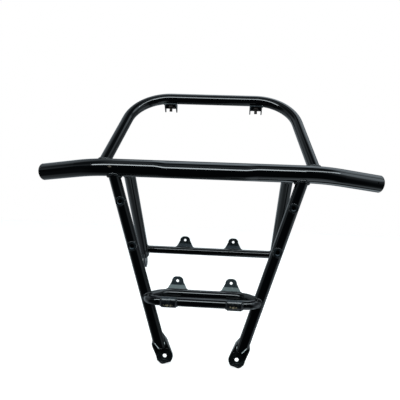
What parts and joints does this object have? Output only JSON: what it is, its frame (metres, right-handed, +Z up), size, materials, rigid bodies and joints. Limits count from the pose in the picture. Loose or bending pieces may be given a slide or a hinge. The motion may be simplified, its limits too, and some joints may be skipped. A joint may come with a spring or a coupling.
{
  "type": "front bumper",
  "caption": "Tubular steel front bumper: a swept crossbar with a hoop leaning back above it, legs closing in to bolt-on feet, braces to the rear and small tabs.",
  "frame": {"origin": "midway between the two foot bolt holes, on the face of the feet that meets the vehicle", "axes": "+X to the right of a rider who faces the bumper from the front, along the crossbar; +Y to the rear, square to the feet's face; +Z up in the plane of the legs"},
  "size_m": [0.7644, 0.3407, 0.6174],
  "materials": {
    "tube_coating": "gloss black coating",
    "bracket_coating": "gloss black coating, thinner at the edges",
    "bar_plug": "smooth black",
    "stud_steel": "plated steel, browned with rust"
  },
  "bodies": {
    "root": {"crossbar": "tube_coating", "end_cap_left": "bar_plug", "end_cap_right": "bar_plug", "hoop": "tube_coating", "leg_left": "tube_coating", "leg_right": "tube_coating", "leg_boss_upper_left": "bracket_coating", "leg_boss_upper_right": "bracket_coating", "leg_boss_lower_left": "bracket_coating", "leg_boss_lower_right": "bracket_coating", "foot_bracket_left": "bracket_coating", "foot_bracket_right": "bracket_coating", "brace_left": "tube_coating", "brace_right": "tube_coating", "brace_lug_left": "bracket_coating", "brace_lug_right": "bracket_coating", "rear_cross_tube": "tube_coating", "rear_tab_left": "bracket_coating", "rear_tab_right": "bracket_coating", "lower_front_tube": "tube_coating", "lower_rear_tube": "tube_coating", "lower_tab_left": "bracket_coating", "lower_tab_right": "bracket_coating", "saddle_plate_left": "bracket_coating", "saddle_plate_right": "bracket_coating", "hoop_clip_left": "bracket_coating", "hoop_clip_right": "bracket_coating", "clip_stud_left": "stud_steel", "clip_stud_right": "stud_steel"}
  },
  "joints": []
}
